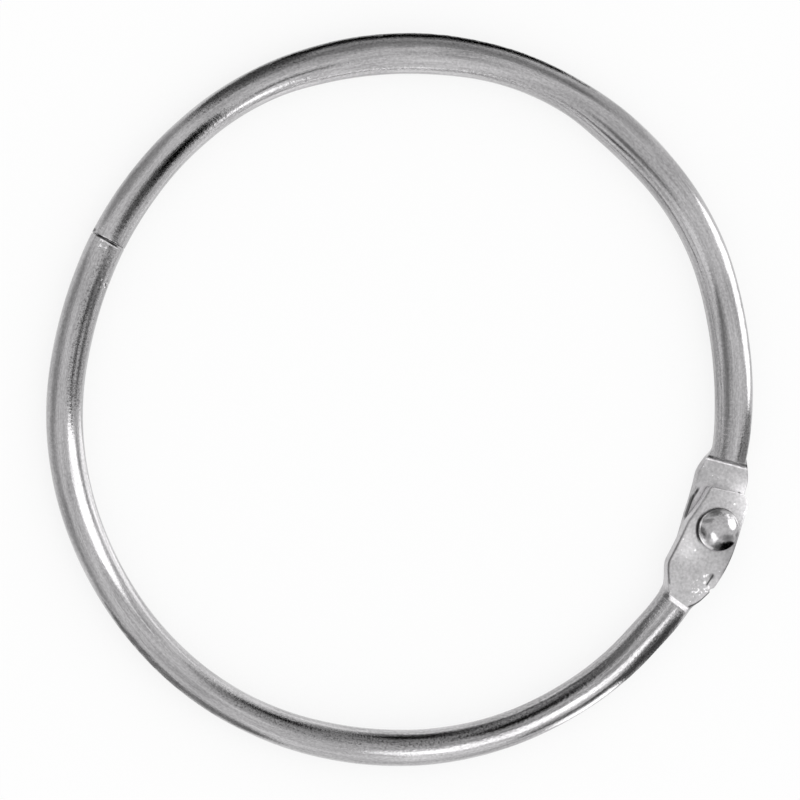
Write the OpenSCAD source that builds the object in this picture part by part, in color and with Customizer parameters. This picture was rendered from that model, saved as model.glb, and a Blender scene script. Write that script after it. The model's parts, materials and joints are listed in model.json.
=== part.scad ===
// Loose-leaf binder ring: two hollow half rings, hinged on one rivet and snapped shut opposite it.
// The closed ring lies flat on z = 0 with its centre on the Z axis. The rivet is on +X, head up.
// The upper half runs anticlockwise from the rivet to the closure and carries the tongue.
// The lower half runs on from the closure to the rivet and is the socket.

/* [Ring] */
// Inside diameter of the closed ring
inner_d = 76; // [50:1:102]
// Diameter of the rolled tube
tube_d = 4.2; // [3.6:0.1:5.2]
// Thickness of the sheet it is rolled from
wall = 0.75; // [0.6:0.05:0.9]
// Width of the seam line along the inside of the ring
seam_w = 0.15; // [0.1:0.05:0.3]
// Depth of the seam line
seam_depth = 0.15; // [0.1:0.05:0.3]

/* [Hinge] */
// Width of each flattened end
leaf_w = 6.2; // [5:0.1:7]
// Gap between the two flattened ends
leaf_gap = 0.1; // [0.05:0.05:0.3]
// How far the rivet sits outside the tube's centreline
rivet_out = 0.5; // [0:0.1:0.8]
// Distance from the rivet to the lower half's tip
front_tip_s = 4.6; // [4:0.1:5.6]
// Distance from the rivet to the upper half's tip
back_tip_s = 5.3; // [4:0.1:5.6]
// Radius of the tips' outer corner
corner_r = 1.4; // [0.5:0.1:2.2]
// Slope at which the inner edge runs in towards the tip
tip_slope = 0.22; // [0:0.01:0.3]
// Length of full-width flat behind the rivet
flat_s = 5.6; // [5:0.1:6.5]
// Distance from the rivet to the step that faces the other half
inner_step_s = 7.5; // [7.2:0.1:8.5]
// Distance from the rivet to the step on the outer face
outer_step_s = 9.4; // [8.8:0.1:11]

/* [Rivet] */
// Diameter of the domed head
head_d = 5.1; // [4:0.1:5.6]
// Height of the domed head
head_h = 1.45; // [0.8:0.05:1.8]
// Height of the straight rim below the dome
rim_h = 0.2; // [0.1:0.05:0.4]
// Diameter of the shank
shank_d = 2.4; // [1.8:0.1:3]
// Clearance on radius in the half that turns
shank_clear = 0.04; // [0.02:0.01:0.1]
// Gap between the head and the half that turns
head_gap = 0.05; // [0.02:0.01:0.1]
// Diameter of the spread tail
tail_d = 4.0; // [3.4:0.1:5]
// How far the tail stays clear of the surface under the ring
tail_lift = 0.12; // [0.05:0.01:0.15]

/* [Closure] */
// Angle from the rivet round to the closure
split_angle = 174; // [165:1:180]
// Gap between the two ends when shut
split_gap = 0.15; // [0.1:0.05:0.4]
// Length of the tongue
tongue_l = 6; // [3:0.5:8]
// Clearance between tongue and socket on radius
tongue_clear = 0.25; // [0.2:0.05:0.35]
// Width of the channel along the tongue
channel_w = 1; // [0.6:0.05:1.1]
// How much smaller the tongue is on radius at its end
nose_drop = 0.25; // [0.1:0.05:0.3]
// Length of the taper at the tongue's end
nose_l = 1.8; // [1:0.1:2.5]
// Distance from the closure to the dimple in the socket
dimple_s = 4.9; // [3:0.1:7]
// Depth of the dimple
dimple_depth = 0.3; // [0.1:0.05:0.35]
// Radius of the ball that presses the dimple
dimple_r = 1; // [0.8:0.1:1.4]

/* [Hidden] */
$fn = 96;
tube_r = tube_d / 2;
bore_r = tube_r - wall;
ring_r = inner_d / 2 + tube_r;
pivot_r = ring_r + rivet_out;
leaf_t = 2 * wall;
leaf_top = -leaf_gap / 2;
leaf_bottom = leaf_top - leaf_t;
tongue_r = bore_r - tongue_clear;
dome_r = (pow(head_d / 2, 2) + pow(head_h - rim_h, 2)) / (2 * (head_h - rim_h));
tail_h = tube_r + leaf_bottom - tail_lift;
root_w = sqrt(pow(tube_r, 2) - pow(leaf_bottom, 2)) - wall / 8;
tip_taper_s = 0.5;
step_lean = 0.5;
past = 1;

// Angle that a length along the tube's centreline turns through.
function turn(s) = s / ring_r * 180 / PI;
function ease(x) = x <= 0 ? 0 : x >= 1 ? 1 : x * x * (3 - 2 * x);
function at(r, s) = [r * cos(turn(s)), r * sin(turn(s))];

// Half the width of a flattened end, s along the ring from the rivet towards its own tube.
function half_w(s) =
    leaf_w / 2 - (leaf_w / 2 - root_w) * ease((s - flat_s) / (outer_step_s - flat_s));
function corner_drop(x) = x <= 0 ? 0 : corner_r - sqrt(max(0, pow(corner_r, 2) - x * x));
function outer_w(s, tip_s) = half_w(s) - corner_drop(min(corner_r, corner_r - s - tip_s));
function inner_w(s) = half_w(s) - tip_slope * max(0, tip_taper_s - s);

// Solid bar along the ring from angle a to angle b. All modules below have the tube's centreline on z = 0.
module bar(r, a, b)
    rotate([0, 0, a])
        rotate_extrude(angle = b - a)
            translate([ring_r, 0])
                circle(r = r);

module seam(a, b)
    rotate([0, 0, a])
        rotate_extrude(angle = b - a)
            translate([ring_r - tube_r + seam_depth - past, -seam_w / 2])
                square([past, seam_w]);

// Plan of a flattened end: both long edges follow the ring, and the tip is square with one round corner.
module leaf_plan(tip_s) {
    root_s = outer_step_s + wall / 2;
    steps = 36;
    run = root_s + tip_s - corner_r;
    corner = [for (i = [0:12]) -tip_s + corner_r * (1 - cos(90 * i / 12))];
    places = concat(corner, [for (i = [1:steps]) -tip_s + corner_r + run * i / steps]);
    outer = [for (s = places) at(ring_r + outer_w(s, tip_s), s)];
    inner = [for (i = [len(places) - 1:-1:0]) at(ring_r - inner_w(places[i]), places[i])];
    polygon(concat(outer, inner));
}

// What the press clears away beside a flattened end: on side 1 above it, on side -1 below it.
module press_step(s, z, side)
    rotate([90, 0, turn(s) + 90])
        translate([0, 0, ring_r - leaf_w])
            linear_extrude(2 * leaf_w)
                polygon([
                    [-2 * outer_step_s, z],
                    [0, z],
                    [step_lean * abs(side * tube_r - z) / tube_r, side * tube_r],
                    [step_lean * abs(side * tube_r - z) / tube_r, side * (tube_r + past)],
                    [-2 * outer_step_s, side * (tube_r + past)]
                ]);

// Hinge end and hollow tube of a half that runs anticlockwise from the rivet to angle b.
// Children stand into its bore.
module half_ring(b, tip_s, hole_r, bore_end) {
    difference() {
        union() {
            bar(tube_r, turn(inner_step_s - wall), b);
            translate([0, 0, leaf_bottom]) linear_extrude(leaf_t) leaf_plan(tip_s);
        }
        press_step(inner_step_s, leaf_top, 1);
        press_step(outer_step_s, leaf_bottom, -1);
        difference() {
            bar(bore_r, turn(outer_step_s + wall + step_lean), bore_end);
            children();
        }
        seam(turn(outer_step_s + wall), b + past);
        translate([pivot_r, 0, leaf_bottom - past]) cylinder(r = hole_r, h = leaf_t + 2 * past);
    }
}

// Channel folded from the sheet, open towards the ring's centre, tapered at its end.
module tongue(a) {
    b = a + turn(tongue_l);
    intersection() {
        difference() {
            bar(tongue_r, a - turn(wall / 2), b);
            rotate([0, 0, a])
                rotate_extrude(angle = b - a + past)
                    translate([ring_r - tube_r, -channel_w / 2])
                        square([tube_r, channel_w]);
        }
        rotate([0, 0, b])
            translate([ring_r, 0, 0])
                rotate([90, 0, 0])
                    cylinder(
                        r1 = tongue_r - nose_drop,
                        r2 = tongue_r + nose_drop * (2 * tongue_l / nose_l - 1),
                        h = 2 * tongue_l
                    );
    }
}

// Ball whose centre is where the dimple's punch stops, at angle a.
module punch(r, a)
    rotate([0, 0, a])
        translate([ring_r - tube_r - dimple_r + dimple_depth, 0, 0])
            sphere(r = r);

module upper_half() color("silver")
    translate([0, 0, tube_r]) {
        b = split_angle - turn(split_gap / 2);
        half_ring(b, back_tip_s, shank_d / 2, b - turn(wall));
        tongue(b);
    }

module lower_half() color("lightgray")
    translate([0, 0, tube_r])
        rotate([180, 0, 0]) {
            b = 360 - split_angle - turn(split_gap / 2);
            dimple_a = b - turn(dimple_s);
            difference() {
                half_ring(b, front_tip_s, shank_d / 2 + shank_clear, b + past)
                    punch(dimple_r + wall, dimple_a);
                punch(dimple_r, dimple_a);
            }
        }

module rivet() color("gainsboro")
    translate([pivot_r, 0, tube_r + leaf_bottom]) {
        head_z = leaf_gap + 2 * leaf_t + head_gap;
        translate([0, 0, -tail_h]) cylinder(d1 = tail_d - tail_h, d2 = tail_d, h = tail_h);
        translate([0, 0, -tail_h / 2]) cylinder(d = shank_d, h = head_z + tail_h / 2 + rim_h);
        translate([0, 0, head_z]) cylinder(d = head_d, h = rim_h);
        intersection() {
            translate([0, 0, head_z + head_h - dome_r]) sphere(r = dome_r);
            translate([0, 0, head_z + rim_h]) cylinder(d = head_d, h = head_h);
        }
    }

upper_half();
lower_half();
rivet();
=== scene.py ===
import json
import math
from functools import partialmethod
from types import SimpleNamespace

import bmesh
import bpy
from mathutils import Matrix, Quaternion, Vector


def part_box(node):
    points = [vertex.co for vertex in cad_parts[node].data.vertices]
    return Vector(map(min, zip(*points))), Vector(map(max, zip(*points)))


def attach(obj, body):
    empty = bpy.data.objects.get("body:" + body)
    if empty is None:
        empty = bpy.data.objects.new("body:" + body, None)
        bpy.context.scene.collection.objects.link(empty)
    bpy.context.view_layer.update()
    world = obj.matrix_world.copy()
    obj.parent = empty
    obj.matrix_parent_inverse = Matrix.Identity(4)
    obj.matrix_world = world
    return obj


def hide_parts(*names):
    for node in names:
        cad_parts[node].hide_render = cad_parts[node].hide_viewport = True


# Loose-leaf binder ring: two nickel-plated half rings, joined by one domed rivet and snapped shut
# opposite it, lying flat on a pale table. The object's sizes are in millimetres, as are the values
# inside the half rings' node trees, and a mesh becomes metres when it leaves its maker. Distances
# of the camera, the table and the cards are in metres.
# Names end in _S for a length along the tube's centreline from the rivet, _R for a radius,
# _D for a diameter, _W for a width and _L for a length.
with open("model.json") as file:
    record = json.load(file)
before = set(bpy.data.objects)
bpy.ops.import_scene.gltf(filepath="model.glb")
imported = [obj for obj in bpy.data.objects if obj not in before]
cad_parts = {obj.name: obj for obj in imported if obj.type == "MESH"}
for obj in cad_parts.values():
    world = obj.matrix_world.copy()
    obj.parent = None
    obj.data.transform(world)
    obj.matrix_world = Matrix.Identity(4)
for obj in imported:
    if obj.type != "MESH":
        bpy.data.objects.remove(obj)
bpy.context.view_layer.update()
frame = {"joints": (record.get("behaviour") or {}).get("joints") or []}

MM = 0.001
EIGHTH_TURN = math.pi / 4
MAP = "Rolled"
CARD_MAP = "Card"


def in_mm(point):
    return [coordinate / MM for coordinate in point]


def in_metres(point):
    return [coordinate * MM for coordinate in point]


# Driving sizes from the frame.
lower_lo, lower_hi = (in_mm(corner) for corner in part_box("lower_half"))
rivet_lo, rivet_hi = (in_mm(corner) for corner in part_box("rivet"))
hinge_place = in_mm(frame["joints"][0]["pos_m"])
TUBE_R = (lower_hi[2] - lower_lo[2]) / 2
RING_R = -lower_lo[0] - TUBE_R
PIVOT_R = hinge_place[0]
LIFT = hinge_place[2]

# Hinge ends.
LEAF_W = 6.2
LEAF_TOP = -0.05
LEAF_BOTTOM = -1.55
FLAT_S = 5.6
INNER_STEP_S = 7.5
OUTER_STEP_S = 9.4
FRONT_TIP_S = 4.6
BACK_TIP_S = 5.3
TIP_CORNER_R = 1.4
INNER_CORNER_R = 0.35
TIP_SLOPE = 0.22
TIP_TAPER_S = 0.5
EDGE_ROUND = 0.14
STEP_SLANT = 0.07
STEP_FOOT = 0.18
INNER_STEP_RUN = 0.35
OUTER_STEP_RISE = 0.75
# Where a leaf's edge bulges or is nicked: (middle, reach) along the ring.
OUTER_BULGE_AT = (3, 5)
INNER_BULGE_AT = (3.5, 6.5)
NICK_AT = (6.35, 0.3)
# Where the arch moves off the leaf's middle, and back to it: (from, to) along the ring.
SHIFT_START = (6, 9)
SHIFT_END = (9.4, 17.4)
# Where the tube's swells, waves and seam start: (from, to) along the ring.
SWELL_START = (8, 11)
WAVE_START = (9, 12)
SEAM_START = (10, 11)

# Rivet.
HEAD_D = 5.1
HEAD_GAP = 0.05
SHANK_D = 2.4
SHANK_CLEAR = 0.04
TAIL_D = 4.0
SEAT_Z = HEAD_GAP - LEAF_BOTTOM
HEAD_TOP_Z = rivet_hi[2] - LIFT
DOME_EDGE_R = HEAD_D / 2 - 0.22
DOME_EDGE_Z = SEAT_Z + 0.42
DOME_RISE = HEAD_TOP_Z - DOME_EDGE_Z
DOME_R = (DOME_EDGE_R ** 2 + DOME_RISE ** 2) / (2 * DOME_RISE)

# Closure.
WALL = 0.75
SPLIT_ANGLE = 174
SPLIT_GAP = 0.04
BORE_END_S = 13
TONGUE_L = 6
TONGUE_R = 1.1
CHANNEL_W = 1
CHANNEL_BEVEL = 0.12
NOSE_DROP = 0.25
NOSE_L = 1.8
# Round at the tongue's end: (length past the tongue, drop on radius).
NOSE_ROUND = [(0.1, 0.04), (0.17, 0.12), (0.2, 0.24)]
DIMPLE_S = 4.9
DIMPLE_DEPTH = 0.3
DIMPLE_R = 1
SEAM_DEPTH = 0.12

# The view.
VIEW_AZIMUTH = math.radians(187.9)
VIEW_ELEVATION = math.radians(73)
VIEW_ROLL = math.radians(104)
VIEW_DISTANCE = 1.2
VIEW_AIM = (-0.5, 0, LIFT)
LENS = 470.2
TO_CAMERA = Vector((
    math.cos(VIEW_AZIMUTH) * math.cos(VIEW_ELEVATION),
    math.sin(VIEW_AZIMUTH) * math.cos(VIEW_ELEVATION),
    math.sin(VIEW_ELEVATION),
))
CAMERA_TURN = (-TO_CAMERA).to_track_quat("-Z", "Y") @ Quaternion((0, 0, 1), VIEW_ROLL)


def arc_length(degrees):
    """Length along the tube's centreline of an angle round the ring."""
    return RING_R * math.radians(degrees)


UPPER_LENGTH = arc_length(SPLIT_ANGLE) - SPLIT_GAP / 2
LOWER_LENGTH = arc_length(360 - SPLIT_ANGLE) - SPLIT_GAP / 2


# --- Node arithmetic ---


class Field:
    """A number in a node tree that plain arithmetic can be done on."""

    def __init__(self, tree, socket):
        self.tree = tree
        self.socket = socket

    def math(self, operation, *others):
        node = self.tree.nodes.new("ShaderNodeMath")
        node.operation = operation
        for place, value in zip(node.inputs, (self, *others)):
            feed(self.tree, place, value)
        return Field(self.tree, node.outputs[0])

    __add__ = __radd__ = partialmethod(math, "ADD")
    __mul__ = __rmul__ = partialmethod(math, "MULTIPLY")
    __sub__ = partialmethod(math, "SUBTRACT")
    __truediv__ = partialmethod(math, "DIVIDE")
    sin = partialmethod(math, "SINE")
    cos = partialmethod(math, "COSINE")
    asin = partialmethod(math, "ARCSINE")
    abs = partialmethod(math, "ABSOLUTE")
    sign = partialmethod(math, "SIGN")
    min = partialmethod(math, "MINIMUM")
    max = partialmethod(math, "MAXIMUM")
    smooth_min = partialmethod(math, "SMOOTH_MIN")
    smooth_max = partialmethod(math, "SMOOTH_MAX")
    above = partialmethod(math, "GREATER_THAN")

    def __neg__(self):
        return self * -1

    def __rsub__(self, other):
        return -self + other

    def sqrt(self):
        return self.max(0).math("SQRT")

    def squared(self):
        return self * self

    def unit(self):
        """Held between 0 and 1."""
        return self.max(0).min(1)

    def ease(self):
        """0 to 1 with a soft start and end."""
        held = self.unit()
        return held * held * (3 - 2 * held)

    def share(self, start, end):
        """0 at start and before, 1 at end and after, straight between."""
        return ((self - start) / (end - start)).unit()

    def rise(self, start, end):
        """0 at start and before, 1 at end and after, with a soft start and end."""
        return ((self - start) / (end - start)).ease()


def feed(tree, place, value):
    """Links a field or a socket to an input, or sets a plain value on it."""
    if isinstance(value, Field):
        tree.links.new(value.socket, place)
    elif isinstance(value, bpy.types.NodeSocket):
        tree.links.new(value, place)
    else:
        place.default_value = value


def mix(a, b, share):
    return a + (b - a) * share


def node_of(tree, kind, **inputs):
    """A node whose inputs are set or linked by their names, with _ for a space."""
    node = tree.nodes.new(kind)
    for name, value in inputs.items():
        feed(tree, node.inputs[name.replace("_", " ")], value)
    return node


def reading(tree, kind, output, **settings):
    """What a node without inputs gives."""
    node = tree.nodes.new(kind)
    for name, value in settings.items():
        setattr(node, name, value)
    return Field(tree, node.outputs[output])


def joined_vector(tree, x, y, z):
    return node_of(tree, "ShaderNodeCombineXYZ", X=x, Y=y, Z=z).outputs[0]


def parts_of(tree, vector):
    """A vector's x, y and z as fields."""
    node = node_of(tree, "ShaderNodeSeparateXYZ", Vector=vector)
    return [Field(tree, part) for part in node.outputs]


def noise_field(tree, vector, scale, detail, rough=0.5):
    made = node_of(tree, "ShaderNodeTexNoise", Vector=vector, Scale=scale, Detail=detail,
                   Roughness=rough)
    return Field(tree, made.outputs[0])


# --- Half rings ---

# Columns run round the tube: over the face that meets the other half, down the outer wall, across
# the outer face and up the inner wall, back to the seam. The face is an arch between two ledges.
LEDGE_COLUMNS = 9
ARCH_COLUMNS = 40
FACE_COLUMNS = ARCH_COLUMNS + 2 * LEDGE_COLUMNS
WALL_COLUMNS = 13
BACK_COLUMNS = 30
COLUMNS = FACE_COLUMNS + 2 * WALL_COLUMNS + BACK_COLUMNS
LOW_WALL = FACE_COLUMNS + WALL_COLUMNS
HIGH_WALL = COLUMNS - WALL_COLUMNS
CAP_ROWS = 2
TIP_ROWS = 14
END_ROWS = 6
BORE_ROWS = 52
# Angle from the leaf's plane up to where the arch starts.
ARCH_FOOT = math.radians(20)
# A leaf's section is a slice of an ellipse this deep, which makes its walls upright.
DEEP_SECTION = 10
MERGE_DISTANCE = 0.0001
# The arch's width where the leaf starts, as a share of the leaf's.
ARCH_WIDTH_SHARE = 0.85
# How far past the tube the step's shoulder would rise, and how softly each face meets its step.
SHOULDER_RISE = 0.4
INNER_SOFTNESS = 0.1
OUTER_SOFTNESS = 0.06
# Rolled lip of an open end: (rows, travel along the ring, change of radius) for each of its steps.
LIP_R = 0.12
LIP = [(1, 0.06, -0.016), (1, 0.044, -0.044), (1, 0.016, -0.06)]


def half_ring_rows(length, tip_s, closing):
    """Stretches of rows from the tip's corner on: (rows, travel along the ring, change of radius).
    Rows are close together at both steps and round the dimple."""
    ends = [
        (26, FLAT_S),
        (16, INNER_STEP_S - 0.3),
        (34, INNER_STEP_S + 1.1),
        (7, OUTER_STEP_S - 0.1),
        (16, OUTER_STEP_S + 0.9),
        (8, 12),
        (150, length - 7),
        (46, length - LIP_R),
    ]
    run = []
    start = TIP_CORNER_R - tip_s
    for rows, end in ends:
        run.append((rows, end - start, 0))
        start = end
    return run + LIP + closing


def drawn_curve(tree, label, degrees, points):
    """Millimetres by the angle round the ring: a soft line through (angle, millimetres) points."""
    low, high = -20, 200
    node = tree.nodes.new("ShaderNodeFloatCurve")
    node.label = label
    line = node.mapping.curves[0]
    while len(line.points) > 2:
        line.points.remove(line.points[1])
    # The line runs on level past both of its end points.
    first, last = (low, points[0][1]), (high, points[-1][1])
    for i, (angle, value) in enumerate([first, last] + points):
        location = ((angle - low) / (high - low), 0.5 + value / 2)
        if i < 2:
            line.points[i].location = location
        else:
            line.points.new(*location)
    node.mapping.update()
    feed(tree, node.inputs["Value"], (degrees - low) / (high - low))
    return (Field(tree, node.outputs[0]) - 0.5) * 2


def hump(value, middle, reach):
    """1 at the middle, falling to 0 at a reach to both sides."""
    return (1 - ((value - middle) / reach).squared()).max(0)


def spread(share):
    """Columns drawn towards both corners of a wall."""
    return (1 - (share * math.pi).cos()) / 2


def bent(t, start, bend, end):
    """Curve from start to end that is drawn towards a bend."""
    return start * (1 - t).squared() + 2 * bend * t * (1 - t) + end * t * t


class HalfRing:
    """Geometry Nodes tree of a half ring that runs anticlockwise from the rivet, face up.

    Its fields say where each point of a grid goes: s is the length along the ring from the rivet,
    y is outward from the tube's centreline and z is up from it."""

    def __init__(self, name, run, bends, swells):
        self.tree = bpy.data.node_groups.new(name, "GeometryNodeTree")
        self.add_inputs()
        self.add_grid(run)
        self.measure_rows(run)
        self.draw_edges(swells)
        self.draw_outer_face()
        self.draw_meeting_face()
        self.choose_face()
        self.round_corners()
        self.add_wear(bends)
        self.add_output()

    def add_inputs(self):
        """The tree's named sizes and its finish."""
        sizes = {
            "Ring Radius": RING_R,
            "Tube Radius": TUBE_R,
            "Leaf Width": LEAF_W,
            "Leaf Top": LEAF_TOP,
            "Leaf Bottom": LEAF_BOTTOM,
            "Flat Length": FLAT_S,
            "Inner Step": INNER_STEP_S,
            "Outer Step": OUTER_STEP_S,
            "Step Slant": STEP_SLANT,
            "Tip Length": BACK_TIP_S,
            "Tip Corner": TIP_CORNER_R,
            "Tip Slant": 0.0,
            "Tip Slope": TIP_SLOPE,
            "Edge Round": EDGE_ROUND,
            "Edge Bulge": 0.0,
            "Inner Bulge": 0.0,
            "Nick Depth": 0.0,
            "Face Shift": 0.0,
            "Dimple Place": 0.0,
            "Dimple Depth": 0.0,
            "Dimple Radius": DIMPLE_R,
            "Seam Depth": SEAM_DEPTH,
            "Waviness": 0.012,
            "Seed": 0.0,
        }
        interface = self.tree.interface
        interface.new_socket("Geometry", in_out="OUTPUT", socket_type="NodeSocketGeometry")
        for label, value in sizes.items():
            socket = interface.new_socket(label, in_out="INPUT", socket_type="NodeSocketFloat")
            socket.default_value = value
        interface.new_socket("Finish", in_out="INPUT", socket_type="NodeSocketMaterial")
        self.group_in = self.tree.nodes.new("NodeGroupInput")
        self.size = {label: Field(self.tree, self.group_in.outputs[label]) for label in sizes}

    def add_grid(self, run):
        """Flat grid whose points' own places give their row and column."""
        rows = CAP_ROWS + TIP_ROWS + sum(stretch[0] for stretch in run)
        self.grid = node_of(self.tree, "GeometryNodeMeshGrid", Size_X=rows, Size_Y=COLUMNS,
                            Vertices_X=rows + 1, Vertices_Y=COLUMNS + 1)
        place = reading(self.tree, "GeometryNodeInputPosition", "Position")
        x, y, _ = parts_of(self.tree, place)
        self.row = x + rows / 2
        self.column = y + COLUMNS / 2

    def measure_rows(self, run):
        """How far each row is along the ring, and what the radius has lost there."""
        start = CAP_ROWS + TIP_ROWS
        corner_turn = self.row.share(CAP_ROWS, start) * (math.pi / 2)
        from_tip = self.size["Tip Corner"] * (1 - corner_turn.cos())
        shrink = 0
        for rows, travel, change in run:
            step = self.row.share(start, start + rows)
            from_tip = from_tip + step * travel
            if change:
                shrink = shrink + step * change
            start += rows
        self.from_tip = from_tip
        self.shrink = shrink
        self.s = from_tip - self.size["Tip Length"]
        self.degrees = self.s / self.size["Ring Radius"] * (180 / math.pi)
        self.is_outside = (1 + shrink / LIP_R).unit()

    def corner_drop(self, radius):
        """How far a round corner at the tip takes an edge in."""
        left = (radius - self.from_tip).max(0)
        return radius - (radius * radius - left * left).sqrt()

    def draw_edges(self, swells):
        """The middle and half width of the leaf and the tube, from the edges of both."""
        size, s = self.size, self.s
        to_tube = s.rise(size["Flat Length"], size["Outer Step"])
        plain_edge = mix(size["Leaf Width"] / 2, size["Tube Radius"], to_tube)
        outer_bulge = size["Edge Bulge"] * hump(s, *OUTER_BULGE_AT).squared()
        inner_bulge = size["Inner Bulge"] * hump(s, *INNER_BULGE_AT)
        nick = size["Nick Depth"] * hump(s, *NICK_AT)
        taper = size["Tip Slope"] * (TIP_TAPER_S - s).max(0)
        outer_edge = plain_edge + outer_bulge - nick - self.corner_drop(size["Tip Corner"])
        inner_edge = plain_edge - taper + inner_bulge - self.corner_drop(INNER_CORNER_R)
        swell = drawn_curve(self.tree, "Swell", self.degrees, swells)
        self.swell = swell * s.rise(*SWELL_START) * self.is_outside
        shift = size["Face Shift"] * s.rise(*SHIFT_START) * (1 - s.rise(*SHIFT_END))
        self.to_tube = to_tube
        self.mid = (outer_edge - inner_edge) / 2 + shift
        self.half = (outer_edge + inner_edge) / 2 + self.shrink + self.swell

    def draw_outer_face(self):
        """Walls and outer face: a bar with upright walls at the leaf, a circle at the tube."""
        size, column = self.size, self.column
        self.top = size["Leaf Top"] * (1 + self.shrink / TUBE_R)
        deep = mix(DEEP_SECTION, size["Tube Radius"], self.to_tube) + self.shrink
        centre_z = mix((LEAF_TOP + LEAF_BOTTOM) / 2, 0, self.to_tube)
        top_turn = ((self.top - centre_z) / deep).asin()
        bottom_turn = ((size["Leaf Bottom"] - centre_z) / deep).max(-0.999).asin()
        low_wall = spread(column.share(FACE_COLUMNS, LOW_WALL))
        high_wall = spread(column.share(HIGH_WALL, COLUMNS))
        turn = top_turn + (bottom_turn - top_turn) * (low_wall + high_wall)
        turn = turn + (-math.pi - 2 * bottom_turn) * column.share(LOW_WALL, HIGH_WALL)
        ramp = (self.s - size["Outer Step"]).max(0) * OUTER_STEP_RISE
        pressed = size["Leaf Bottom"] - ramp - self.shrink
        self.centre_z = centre_z
        self.back_y = self.half * turn.cos()
        self.back_z = (centre_z + deep * turn.sin()).smooth_max(pressed, OUTER_SOFTNESS)
        self.top_edge_y = self.half * top_turn.cos()
        self.bottom_edge_y = self.half * bottom_turn.cos()

    def draw_meeting_face(self):
        """Face that meets the other half: an arch between two ledges, pressed flat at the leaf."""
        size, column, to_tube = self.size, self.column, self.to_tube
        radius = size["Tube Radius"] + self.shrink
        arch_half = (radius + self.swell).min(self.half * mix(ARCH_WIDTH_SHARE, 1, to_tube))
        arch_share = column.share(LEDGE_COLUMNS, LEDGE_COLUMNS + ARCH_COLUMNS)
        arch_turn = math.pi - ARCH_FOOT - (math.pi - 2 * ARCH_FOOT) * arch_share
        first_ledge = 1 - column.share(0, LEDGE_COLUMNS)
        last_ledge = column.share(FACE_COLUMNS - LEDGE_COLUMNS, FACE_COLUMNS)
        ledge = (first_ledge + last_ledge).unit()
        side = last_ledge.sign() - first_ledge.sign()
        is_ledge = ledge.above(0)
        t = 1 - (1 - ledge).squared()
        bend_z = mix(self.top, radius * math.tan(ARCH_FOOT / 2), to_tube.squared())
        ledge_y = bent(t, arch_half * math.cos(ARCH_FOOT), arch_half, self.top_edge_y)
        ledge_z = bent(t, radius * math.sin(ARCH_FOOT), bend_z, self.top)
        self.face_y = mix(arch_half * arch_turn.cos(), side * ledge_y, is_ledge)
        arch_z = mix(radius * arch_turn.sin(), ledge_z, is_ledge)
        # The arch stands up from the leaf over a small foot and a steep shoulder.
        past_step = self.s - size["Inner Step"] + self.face_y * size["Step Slant"]
        foot = STEP_FOOT * past_step.share(0, 0.3).squared()
        steep = past_step.rise(0.25, 0.25 + INNER_STEP_RUN)
        shoulder = foot + steep * (TUBE_R - LEAF_TOP + SHOULDER_RISE)
        softness = INNER_SOFTNESS * shoulder.share(0, 0.3)
        self.face_z = LEAF_TOP + (arch_z - LEAF_TOP).smooth_min(shoulder, softness).max(0)

    def choose_face(self):
        """Each column's place, from the face that it is on."""
        column = self.column
        on_face = 1 - column.above(FACE_COLUMNS - 0.5)
        self.y = mix(self.back_y, self.face_y, on_face)
        self.z = mix(self.back_z, self.face_z, on_face)
        # The last column lies on the first.
        self.on_face = on_face + column.above(COLUMNS - 0.5)
        self.on_back = column.above(LOW_WALL + 0.5) * (1 - column.above(HIGH_WALL - 0.5))
        self.on_wall = 1 - self.on_face - self.on_back

    def round_corners(self):
        """Rounds the leaf's corners, and draws the tip's end wall in to its middle."""
        y, z, from_tip = self.y, self.z, self.from_tip
        on_face, on_back, on_wall = self.on_face, self.on_back, self.on_wall
        smallest = 0.0001
        round_r = (self.size["Edge Round"] * (1 - self.to_tube)).max(smallest)

        def corner(distance):
            """How far a point moves out along its own side and in across it, by its distance from
            a corner."""
            near = (1 - distance / round_r).unit()
            turn = near * EIGHTH_TURN
            return round_r * (turn.sin() - near), round_r * (1 - turn.cos())

        face_out, face_in = corner(self.top_edge_y - y.abs())
        back_out, back_in = corner(self.bottom_edge_y - y.abs())
        high_out, high_in = corner(LEAF_TOP - z)
        low_out, low_in = corner(z - LEAF_BOTTOM)
        tip_out, tip_in = corner(from_tip)
        wider = face_out * on_face + back_out * on_back - (high_in + low_in) * on_wall
        self.y = y + y.sign() * wider
        lower = z - (face_in + tip_in) * on_face + (back_in + tip_in) * on_back
        self.z = lower + (high_out - low_out) * on_wall
        self.cap = 0.93 * self.row.share(0, 1) + 0.07 * self.row.share(1, CAP_ROWS)
        slant = self.size["Tip Slant"] * self.y * self.cap * (1 - from_tip.share(0, 4))
        self.s_shown = self.s - tip_out * (1 - on_wall) * self.cap.above(0.99) + slant

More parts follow.
